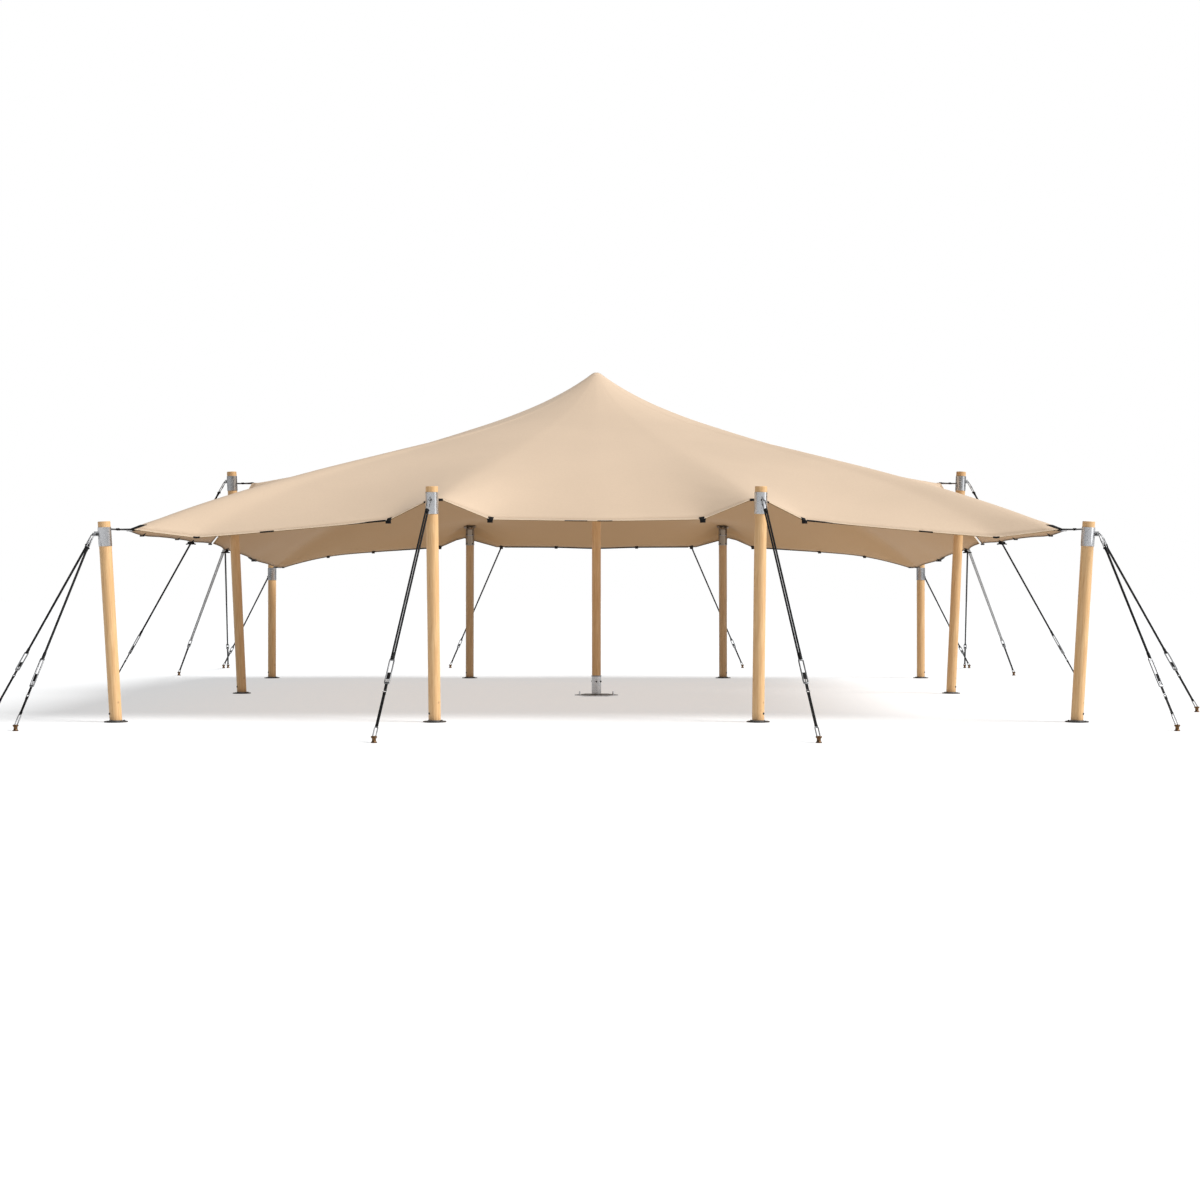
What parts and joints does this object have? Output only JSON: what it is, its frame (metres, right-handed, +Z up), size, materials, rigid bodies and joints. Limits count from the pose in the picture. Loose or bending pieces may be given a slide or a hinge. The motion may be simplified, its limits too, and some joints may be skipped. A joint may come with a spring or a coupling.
{
  "type": "stretch tent",
  "caption": "Open-sided stretch tent: one tensioned fabric sheet peaks over a tall centre pole and is held out by leaning timber poles, steel heads, guys and stakes.",
  "frame": {"origin": "underside of the centre pole's foot plate, on the ground", "axes": "+X right, +Y to the back along the longest side, +Z up"},
  "size_m": [14.132, 17.242, 4.353],
  "materials": {
    "stretch_fabric": "matte beige stretch knit",
    "honey_timber": "oiled round poles",
    "galvanised_steel": "galvanised",
    "dark_steel": "black paint",
    "guy_rope": "black braided rope and webbing"
  },
  "bodies": {
    "root": {"canopy": "stretch_fabric", "cap_back_left": "dark_steel", "cap_back_right": "dark_steel", "centre_pole": "honey_timber", "centre_pole_cap": "dark_steel", "centre_pole_foot": "galvanised_steel", "collar_back_corner_left": "galvanised_steel", "collar_back_corner_right": "galvanised_steel", "collar_front_corner_left": "galvanised_steel", "collar_front_corner_right": "galvanised_steel", "collar_front_left": "galvanised_steel", "collar_front_right": "galvanised_steel", "collar_side_left": "galvanised_steel", "collar_side_right": "galvanised_steel", "foot_back_corner_left": "galvanised_steel", "foot_back_corner_right": "galvanised_steel", "foot_back_left": "galvanised_steel", "foot_back_right": "galvanised_steel", "foot_front_corner_left": "galvanised_steel", "foot_front_corner_right": "galvanised_steel", "foot_front_left": "galvanised_steel", "foot_front_right": "galvanised_steel", "foot_side_left": "galvanised_steel", "foot_side_right": "galvanised_steel", "guy_back_corner_left": "guy_rope", "guy_back_corner_right": "guy_rope", "guy_back_edge_left": "guy_rope", "guy_back_edge_right": "guy_rope", "guy_front_corner_forward_left": "guy_rope", "guy_front_corner_forward_right": "guy_rope", "guy_front_corner_side_left": "guy_rope", "guy_front_corner_side_right": "guy_rope", "guy_front_left": "guy_rope", "guy_front_right": "guy_rope", "guy_side_edge_back_left": "guy_rope", "guy_side_edge_back_right": "guy_rope", "guy_side_edge_left": "guy_rope", "guy_side_edge_right": "guy_rope", "guy_side_left": "guy_rope", "guy_side_right": "guy_rope", "pole_back_corner_left": "honey_timber", "pole_back_corner_right": "honey_timber", "pole_back_left": "honey_timber", "pole_back_right": "honey_timber", "pole_front_corner_left": "honey_timber", "pole_front_corner_right": "honey_timber", "pole_front_left": "honey_timber", "pole_front_right": "honey_timber", "pole_side_left": "honey_timber", "pole_side_right": "honey_timber"}
  },
  "joints": []
}
